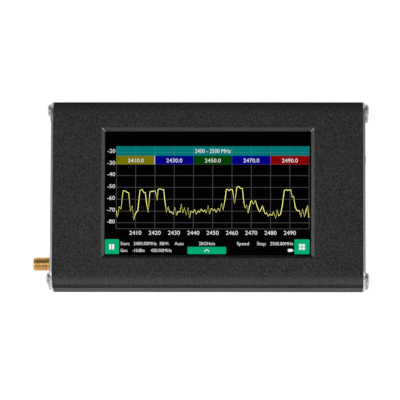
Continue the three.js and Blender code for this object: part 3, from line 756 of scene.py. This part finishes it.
screw = {
    "headRadius": 2.7, "rim": 0.35, "headHeight": 1.65, "crownRadius": 1.35, "domeRings": 9, "domePower": 2.9,
    "ringPower": 1.6, "edge": 0.07, "aboveFloor": 0.1, "shankRadius": 1.5, "shankLength": 8.0,
    "tipChamfer": 0.3, "threadDepth": 0.3, "threadPitch": 0.5, "threadStart": 0.35, "threadRest": 0.9,
    "threadSteps": 20, "socketAcross": 2.0, "socketDepth": 1.0, "fromSide": 3.7, "fromFace": 5.0, "sides": 48,
}


def makeScrew(size):
    head = addCylinder("plateScrew", size["sides"], size["headRadius"], 0, size["rim"])
    pickFaces(head, looksUp)
    radius, height = size["headRadius"], size["rim"]
    dome, rings, power = size["headHeight"] - size["rim"], size["domeRings"], size["domePower"]
    for ring in range(1, rings + 1):
        share = (ring / rings) ** size["ringPower"]
        nextRadius = size["headRadius"] + (size["crownRadius"] - size["headRadius"]) * share
        across = (nextRadius / size["headRadius"]) ** power
        nextHeight = size["headHeight"] if ring == rings else size["rim"] + dome * (1 - across) ** (1 / power)
        extrudeUp(nextHeight - height)
        scaleAcross(nextRadius / radius, nextHeight)
        radius, height = nextRadius, nextHeight
    endEdit()
    pickFaces(head, lambda centre, normal: normal.z < -facing)
    core = size["shankRadius"] - size["threadDepth"]
    bpy.ops.mesh.inset(thickness=(size["headRadius"] - core) * mm)
    extrudeUp(size["tipChamfer"] - size["shankLength"])
    extrudeUp(-size["tipChamfer"])
    scaleAcross((core - size["tipChamfer"]) / core, -size["shankLength"])
    endEdit()
    corner = size["socketAcross"] / 2 / math.cos(math.pi / 6)
    top, deep = size["headHeight"], size["socketDepth"]
    cutAway(head, addCylinder("socketCutter", 6, corner, top - deep, top + deep))

    def onHeadEdge(point):
        return point.z > top - deep + size["aboveFloor"] or abs(point.z) < touching

    bevelSharp(head, size["edge"], onHeadEdge)
    turns = int((size["shankLength"] - size["threadRest"]) / size["threadPitch"])
    start = size["threadStart"] - size["shankLength"]
    ridge = threadRidge(
        "screwThread", size["shankRadius"], size["threadDepth"], size["threadPitch"], turns,
        size["threadSteps"], start)
    return joinPieces([head, ridge], "plateScrew")


model = makeScrew(screw)
screwPlaces = [(across, up) for up in ("front", "rear") for across in ("top", "bottom")]
socketTurns = {"left": (12, 41, 27, 4), "right": (33, 8, 51, 19)}  # degrees, in the order of the places
for side, sign in (("left", -1), ("right", 1)):
    lay = Matrix.Rotation(math.radians(90 * sign), 4, "Y")
    for (across, up), turn in zip(screwPlaces, socketTurns[side]):
        head = newObject(f"{side}Screw{across.title()}{up.title()}", model.data.copy())
        spin = Matrix.Rotation(math.radians(turn), 4, "Z")
        y = (shells["halfWidth"] - screw["fromSide"]) * (1 if across == "top" else -1)
        z = shells["depth"] - screw["fromFace"] if up == "front" else screw["fromFace"]
        place = Vector((shells["halfLength"] * sign, y, z)) * mm
        head.matrix_world = Matrix.Translation(place) @ lay @ spin
        applyPlace(head)
        finishPiece(head, "platedScrewSteel", [f"{side}_screw_{across}_{up}"])
bpy.data.objects.remove(model)
print("eight plate screws are in")


# Antenna jack: turned barrel with a helical thread, square base and legs behind the plate

jack = {
    "y": -29.3, "z": 13.5, "tip": -75.7, "core": 2.72, "crest": 3.02, "collar": 3.05, "bore": 2.3, "boreDepth": 2.6,
    "inside": 1.0, "collarTop": 0.9, "collarSlope": 0.25, "tipChamfer": 0.28, "tipSlope": 0.16, "edge": 0.05,
    "pitch": 0.706, "turns": 8, "threadDepth": 0.3, "threadStart": 1.05, "threadSteps": 48, "sides": 64,
    "footCut": -67.6, "footEdge": 0.08, "insulatorEdge": 0.06, "slotMiddle": 2.1, "slotSize": (3.6, 0.14, 1.5),
    "edgesAbove": -0.5, "footEdgesPast": -66.9, "insulatorReach": 2.2,
}


def lieAlongLeft(piece):  # turns +Z to -X and brings the piece to the jack's axis, its foot at the plate
    turn = Matrix.Rotation(math.radians(-90), 4, "Y")
    place = Vector((-shells["halfLength"], jack["y"], jack["z"])) * mm
    piece.matrix_world = Matrix.Translation(place) @ turn @ piece.matrix_world
    applyPlace(piece)


reach = -shells["halfLength"] - jack["tip"]
slopeTop = jack["collarTop"] + jack["collarSlope"]
lip = jack["core"] - jack["tipSlope"]
barrel = addCylinder("jackBarrel", jack["sides"], jack["collar"], -jack["inside"], jack["collarTop"])
pickFaces(barrel, looksUp)
extrudeUp(jack["collarSlope"])
scaleAcross(jack["core"] / jack["collar"], slopeTop)
extrudeUp(reach - slopeTop - jack["tipChamfer"])
extrudeUp(jack["tipChamfer"])
scaleAcross(lip / jack["core"], reach)
bpy.ops.mesh.inset(thickness=(lip - jack["bore"]) * mm)
extrudeUp(-jack["boreDepth"])
endEdit()
bevelSharp(barrel, jack["edge"], lambda point: point.z > jack["edgesAbove"])
ridge = threadRidge(
    "jackThread", jack["crest"], jack["threadDepth"], jack["pitch"], jack["turns"], jack["threadSteps"],
    jack["threadStart"])
for piece in (barrel, ridge):
    lieAlongLeft(piece)
foot = copyOfNode("antenna_jack", "jackFoot")
beginEdit(foot, "VERT")
selectAll()
bpy.ops.mesh.bisect(plane_co=(jack["footCut"] * mm, 0, 0), plane_no=(1, 0, 0), use_fill=True, clear_inner=True)
endEdit()
bevelSharp(foot, jack["footEdge"], lambda point: point.x > jack["footEdgesPast"])
finishPiece(joinPieces([barrel, ridge, foot], "antennaJackTurned"), "turnedJackGold", ["antenna_jack"])

softenedCopy(
    "jack_insulator", "jackInsulatorTurned", jack["insulatorEdge"],
    lambda point: point.x < jack["tip"] + jack["insulatorReach"], "turnedPtfe")

contact = copyOfNode("jack_contact", "jackContactSlotted")
middle = Vector((jack["tip"] + jack["slotMiddle"], jack["y"], jack["z"])) * mm
for turn in (0, 90):
    cutAway(contact, addBox("slotCutter", middle, jack["slotSize"], turn))
finishPiece(contact, "contactGold", ["jack_contact"])
print("antenna jack is in")


# Charging socket, power key and charge lamp in the right end plate

ports = {
    "mouthEdge": 0.09, "tongueEdge": 0.12, "padSize": (3.2, 0.26, 0.05), "padInset": 0.5, "padEdge": 0.02,
    "padStep": 0.5, "padCount": 12, "keyInsets": ((0.5, 0), (0.12, -0.12), (0.12, 0.096), (0.35, -0.1)),
    "keyEdge": 0.07, "pipeEdge": 0.14, "mouthPast": 67.4, "keyEdgesPast": 67.5, "keyFacePast": 68.2,
}

softenedCopy(
    "usb_shell", "usbShellDrawn", ports["mouthEdge"], lambda point: point.x > ports["mouthPast"],
    "tinnedSheet")

tongue = copyOfNode("usb_tongue", "usbTongueBlank")
bevelSharp(tongue, ports["tongueEdge"], anywhere)
tongue.data.materials.append(materials["mouldedBlack"])
tongueParts = [tongue]
low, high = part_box("usb_tongue")
padX = high.x - (ports["padInset"] + ports["padSize"][0] / 2) * mm
padY = (low.y + high.y) / 2 - ports["padStep"] * (ports["padCount"] - 1) / 2 * mm
for up in (low.z, high.z):
    pads = addBox("usbPads", (padX, padY, up), ports["padSize"])
    bevelSharp(pads, ports["padEdge"], anywhere, 1)
    applyModifier(
        pads, "ARRAY", count=ports["padCount"], use_relative_offset=False, use_constant_offset=True,
        constant_offset_displace=(0, ports["padStep"] * mm, 0))
    pads.data.materials.append(materials["contactGold"])
    tongueParts.append(pads)
finishPiece(joinPieces(tongueParts, "usbTonguePads"), "mouldedBlack", ["usb_tongue"])

key = copyOfNode("power_button", "powerKeyCap")
pickFaces(key, lambda centre, normal: centre.x > ports["keyFacePast"] and normal.x > facing)
for width, rise in ports["keyInsets"]:
    bpy.ops.mesh.inset(thickness=width * mm, depth=rise * mm)
endEdit()
bevelSharp(key, ports["keyEdge"], lambda point: point.x > ports["keyEdgesPast"])
finishPiece(key, "keyBlack", ["power_button"], body="button")

softenedCopy(
    "lamp_pipe", "lampPipeFrosted", ports["pipeEdge"], lambda point: point.x > plates["outside"],
    "frostedLampRod", 3)
print("sockets and key are in")


# Touch glass and the lit picture on it, laid out on the screen's own 800 x 480 points

screen = {
    "left": -44.35, "top": 26.10, "width": 88.27, "height": 52.53, "columns": 800, "rows": 480, "glassTop": 24.5,
    "glassEdge": 0.12, "strokeTrim": -0.004, "capitalShare": 0.73,
}
layers = {"fill": 0.010, "line": 0.016, "trace": 0.026, "text": 0.034}

softenedCopy("touch_glass", "touchGlassSheet", screen["glassEdge"], anywhere, "displayGlass")


def onScreen(column, row, layer):
    x = screen["left"] + column * screen["width"] / screen["columns"]
    y = screen["top"] - row * screen["height"] / screen["rows"]
    return Vector((x, y, screen["glassTop"] + layers[layer])) * mm


def patch(left, top, right, bottom, layer, corner=0.0):
    low, high = onScreen(left, bottom, layer), onScreen(right, top, layer)
    bpy.ops.mesh.primitive_plane_add(size=1, location=(low + high) / 2)
    piece = justAdded("screenPatch")
    piece.scale = (high.x - low.x, high.y - low.y, 1)
    applyPlace(piece)
    if corner:
        beginEdit(piece, "VERT")
        selectAll()
        bpy.ops.mesh.bevel(offset=corner * mm, segments=4, affect="VERTICES")
        endEdit()
    return piece


def lettering(words, column, row, height, width, align="CENTER"):  # row is the middle of the capitals
    bpy.ops.object.text_add(location=(0, 0, 0))
    piece = justAdded("screenText")
    piece.data.body = words
    piece.data.align_x = align
    piece.data.resolution_u = 3
    piece.data.offset = screen["strokeTrim"]
    bpy.ops.object.convert(target="MESH")
    piece = justAdded("screenText")
    across = width * screen["width"] / screen["columns"] * mm / piece.dimensions.x
    up = height * screen["height"] / screen["rows"] / screen["capitalShare"] * mm
    piece.scale = (across, up, 1)
    piece.location = onScreen(column, row + height / 2, "text")
    applyPlace(piece)
    return piece


def screenName(name, start="screen"):
    return start + name[0].upper() + name[1:]


def finishScreen(pieces, name, colour):
    finishPiece(joinPieces(pieces, name), screenName(colour), weigh=False)


lit = {
    "plotLeft": 43.6, "plotRight": 798.0, "plotTop": 122.5, "plotBottom": 379, "divisions": 10,
    "rowLines": (74.5, 121.5, 167, 214, 261.5, 309, 355), "lineWidth": 1.7, "barTop": 49.7, "barMiddle": 87.5,
    "levelRows": (68, 115.4, 161, 209, 255.6, 302.7, 349.4), "levels": range(-20, -90, -10),
    "levelColumn": 39, "levelWidth": 30, "levelHeight": 16.5,
    "marks": range(2410, 2500, 10), "markRow": 394.5, "markWidth": 47, "markHeight": 17,
    "bandMiddles": range(2410, 2500, 20), "bandColours": ("olive", "navy", "darkGreen", "navy", "darkRed"),
    "bandWidth": 62, "bandHeight": 16.5, "bandRow": 106,
    "title": "2400 - 2500 MHz", "titleRow": 68, "titleWidth": 140, "titleHeight": 17,
    "infoHeight": 13.5, "keyCorner": 0.4, "marker": (646, 648.5), "divider": (192.2, 194.2),
    "keys": ((0.3, 421, 55.5, 479.7), (740.5, 421, 799.7, 479.7), (323, 451, 474, 479.7)),
    "battery": (715, 459, 733, 470.4), "batteryCorner": 0.3, "batteryTip": (733, 462, 736, 467.5),
    "pauseColumns": (17, 28.5), "pauseRows": (440.5, 461.5), "pauseWidth": 8,
    "tileColumns": (758.5, 771.5), "tileRows": (439.5, 452.5), "tileSide": 10, "arrow": (398.3, 470, 19, 9, 4),
    "traceStrength": 1.6, "veils": {"gridVeil": 0.085, "barVeil": 0.035},
}

screenColours = {
    "olive": shade(122, 118, 0), "navy": shade(0, 0, 132), "darkGreen": shade(0, 66, 0), "darkRed": shade(136, 0, 0),
    "teal": shade(0, 120, 120), "white": shade(250, 250, 250), "magenta": shade(150, 60, 150),
    "traceYellow": shade(255, 254, 130), "keyGreen": shade(0, 175, 116),
}
for name, value in screenColours.items():
    litColour(screenName(name), value)
traceShader = materials["screenTraceYellow"].node_tree.nodes["Principled BSDF"]
traceShader.inputs["Emission Strength"].default_value = lit["traceStrength"]
for name, amount in lit["veils"].items():  # the grid shows through the bars, so it is a thin veil
    litColour(screenName(name), shade(255, 255, 255), amount)

step = (lit["plotRight"] - lit["plotLeft"]) / lit["divisions"]
thin = lit["lineWidth"] / 2


def columnAt(division):
    return lit["plotLeft"] + division * step


veils = {name: [] for name in lit["veils"]}
for i in range(lit["divisions"] + 1):
    column = columnAt(i)
    veils["barVeil"].append(patch(column - thin, lit["barTop"], column + thin, lit["plotTop"], "line"))
    veils["gridVeil"].append(patch(column - thin, lit["plotTop"], column + thin, lit["plotBottom"], "line"))
for i in range(lit["divisions"]):
    left, right = columnAt(i) + thin, columnAt(i + 1) - thin
    for row in (*lit["rowLines"], lit["plotBottom"]):
        veil = "barVeil" if row < lit["plotTop"] else "gridVeil"
        veils[veil].append(patch(left, row - thin, right, row + thin, "line"))
for veil, pieces in veils.items():
    finishScreen(pieces, screenName(veil), veil)

fills = {}
for i, colour in enumerate(lit["bandColours"]):
    left = columnAt(2 * i)
    band = patch(left - 1, lit["barMiddle"], left + 2 * step - 1, lit["plotTop"], "fill")
    fills.setdefault(colour, []).append(band)
fills["teal"] = [patch(lit["plotLeft"] - 1, lit["barTop"], lit["plotRight"] + 1, lit["barMiddle"], "fill")]
fills["magenta"] = [patch(lit["marker"][0], lit["barMiddle"], lit["marker"][1], lit["plotTop"], "trace")]
fills["keyGreen"] = [patch(*box, "fill", lit["keyCorner"]) for box in lit["keys"]]
for colour, pieces in fills.items():
    finishScreen(pieces, screenName(colour, "screenFill"), colour)
print("screen fills and grid are in")

words = []
for level, row in zip(lit["levels"], lit["levelRows"]):
    words.append(lettering(str(level), lit["levelColumn"], row, lit["levelHeight"], lit["levelWidth"], "RIGHT"))
for i, mark in enumerate(lit["marks"]):
    words.append(lettering(str(mark), columnAt(i + 1), lit["markRow"], lit["markHeight"], lit["markWidth"]))
for i, frequency in enumerate(lit["bandMiddles"]):
    column = columnAt(2 * i + 1)
    words.append(lettering(f"{frequency}.0", column, lit["bandRow"], lit["bandHeight"], lit["bandWidth"]))
middle = (lit["plotLeft"] + lit["plotRight"]) / 2
words.append(lettering(lit["title"], middle, lit["titleRow"], lit["titleHeight"], lit["titleWidth"]))

infoLines = {  # each word fills its place from column to column
    437.6: (
        ("Start:", 61, 96), ("2400.00MHz", 112, 202), ("RBW:", 214, 249), ("Auto", 273, 308),
        ("20GHz/s", 367, 429), ("Speed", 515, 562), ("Stop:", 594, 629), ("2500.00MHz", 645, 735),
    ),
    464.8: (("Gen:", 61, 88), ("-10dBm", 108, 155), ("450.00MHz", 179, 261)),
}
for row, line in infoLines.items():
    words += [lettering(word, left, row, lit["infoHeight"], right - left, "LEFT") for word, left, right in line]

words.append(patch(lit["divider"][0], lit["barMiddle"], lit["divider"][1], lit["plotTop"], "text"))
words.append(patch(*lit["battery"], "text", lit["batteryCorner"]))
words.append(patch(*lit["batteryTip"], "text"))
high, low = lit["pauseRows"]
words += [patch(left, high, left + lit["pauseWidth"], low, "text") for left in lit["pauseColumns"]]
side = lit["tileSide"]
for left in lit["tileColumns"]:
    words += [patch(left, top, left + side, top + side, "text") for top in lit["tileRows"]]


def chevron(column, row, width, height, weight):  # two slanted bars, joined at the top
    pieces = []
    middle = onScreen(column, row, "text").x / mm
    for left in (column - width / 2, column):
        bar = patch(left, row - weight / 2, left + width / 2, row + weight / 2, "text")
        pickPoints(bar, lambda point: abs(point.x - middle) < touching)
        bpy.ops.transform.translate(value=(0, height * screen["height"] / screen["rows"] * mm, 0))
        endEdit()
        pieces.append(bar)
    return pieces


words += chevron(*lit["arrow"])
finishScreen(words, "screenFigures", "white")
print("screen figures are in")


# Trace: knots of column and row, with seeded noise between them

sweep = {
    "seed": 11, "spacing": 6.5, "floorNoise": 11.5, "topNoise": 2.5, "width": 2.1,
    "sideways": 1.5, "levelWithin": 20, "floorBelow": 260, "flattened": 0.05,
    "knots": (
        (44, 308), (48, 334), (55, 292), (62, 300), (70, 228), (92, 236), (99, 308), (107, 288), (112, 344),
        (120, 316), (128, 308), (136, 226), (157, 235), (169, 316), (175, 233), (196, 228), (204, 266),
        (207, 223), (229, 223), (240, 313), (462, 304), (474, 223), (498, 224), (507, 280), (515, 214),
        (537, 218), (547, 296), (553, 284), (560, 316), (570, 270), (580, 280), (588, 266), (595, 291),
        (604, 312), (616, 286), (626, 320), (686, 322), (693, 288), (701, 226), (726, 224), (732, 254),
        (737, 248), (744, 294), (752, 308), (786, 306), (792, 286), (797, 334),
    ),
}


def tracePoints():
    dice = random.Random(sweep["seed"])
    points = [sweep["knots"][0]]
    for (startColumn, startRow), (endColumn, endRow) in zip(sweep["knots"], sweep["knots"][1:]):
        parts = max(1, round((endColumn - startColumn) / sweep["spacing"]))
        level = abs(endRow - startRow) < sweep["levelWithin"]
        noise = sweep["floorNoise"] if startRow > sweep["floorBelow"] else sweep["topNoise"]
        for part in range(1, parts + 1):
            share = part / parts
            shake = (-1) ** part * abs(dice.gauss(0, 1)) * noise if level and part < parts else 0
            shift = dice.uniform(-sweep["sideways"], sweep["sideways"]) * (part < parts)
            column = startColumn + (endColumn - startColumn) * share + shift
            points.append((column, startRow + (endRow - startRow) * share + shake))
    return points


def makeTrace():
    points = tracePoints()
    curve = bpy.data.curves.new("screenTrace", "CURVE")
    curve.dimensions = "3D"
    curve.bevel_depth = sweep["width"] / 2 * screen["width"] / screen["columns"] * mm
    curve.bevel_resolution = 0
    line = curve.splines.new("POLY")
    line.points.add(len(points) - 1)
    for point, (column, row) in zip(line.points, points):
        spot = onScreen(column, row, "trace")
        point.co = (spot.x, spot.y, 0, 1)
    takeUp(newObject("screenTrace", curve))
    bpy.ops.object.convert(target="MESH")
    trace = justAdded("screenTrace")
    trace.scale = (1, 1, sweep["flattened"])
    trace.location = (0, 0, (screen["glassTop"] + layers["trace"]) * mm)
    applyPlace(trace)
    return trace


finishScreen([makeTrace()], "screenTrace", "traceYellow")
print("the trace is drawn")


# Parts inside the case keep their CAD solids and get their finishes

corners = [f"{side}_{up}" for side in ("left", "right") for up in ("top", "bottom")]
insideFinish = {
    "closedCellFoam": ["display_gasket", "battery_pad"],
    "panelDark": ["display_panel"],
    "tinnedSheet": ["display_tray", "display_bracket", "shield_fence", "shield_lid", "reference_crystal"],
    "amberRibbonFilm": ["display_ribbon"],
    "mouldedBlack": ["ribbon_connector", "power_switch"],
    "chipMouldBlack": ["radio_chip", "processor", "memory_chip"],
    "greenSolderMask": ["main_board"],
    "mouldedWhite": ["switch_plunger", "charge_led", "battery_socket", "battery_plug"],
    "batteryPouchFoil": ["battery"],
    "redLeadSkin": ["battery_lead_red"],
    "blackLeadSkin": ["battery_lead_black"],
    "spacerBrass": [f"spacer_{corner}" for corner in corners],
    "platedScrewSteel": [f"{kind}_screw_{corner}" for kind in ("bracket", "board") for corner in corners],
}

for finish, names in insideFinish.items():
    for name in names:
        nodes[name].data.materials.clear()
        nodes[name].data.materials.append(materials[finish])
print("inner parts have their finishes")
